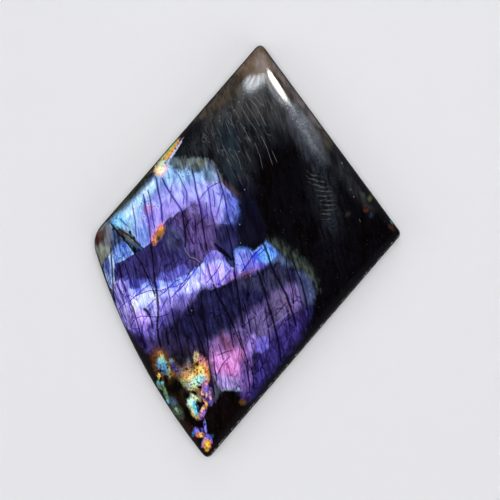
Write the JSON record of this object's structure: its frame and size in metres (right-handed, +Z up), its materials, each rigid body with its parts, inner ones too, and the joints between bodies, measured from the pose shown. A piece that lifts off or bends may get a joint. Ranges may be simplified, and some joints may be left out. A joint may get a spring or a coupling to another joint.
{
  "type": "polished labradorite cabochon",
  "caption": "Kite-shaped polished labradorite cabochon with a low domed face, one bowed side and a flat back, a loose stone to hold, display or set.",
  "frame": {"origin": "middle of the flat back, on the surface that the stone rests on", "axes": "+Z up through the domed face, +Y along the long diagonal towards the upper corner, +X towards the sharper side corner"},
  "size_m": [0.0554, 0.0761, 0.007],
  "materials": {
    "polished_labradorite": "high polish on the face and girdle, ground back; near black with violet and blue flash"
  },
  "bodies": {
    "root": {"labradorite_stone": "polished_labradorite"}
  },
  "joints": []
}
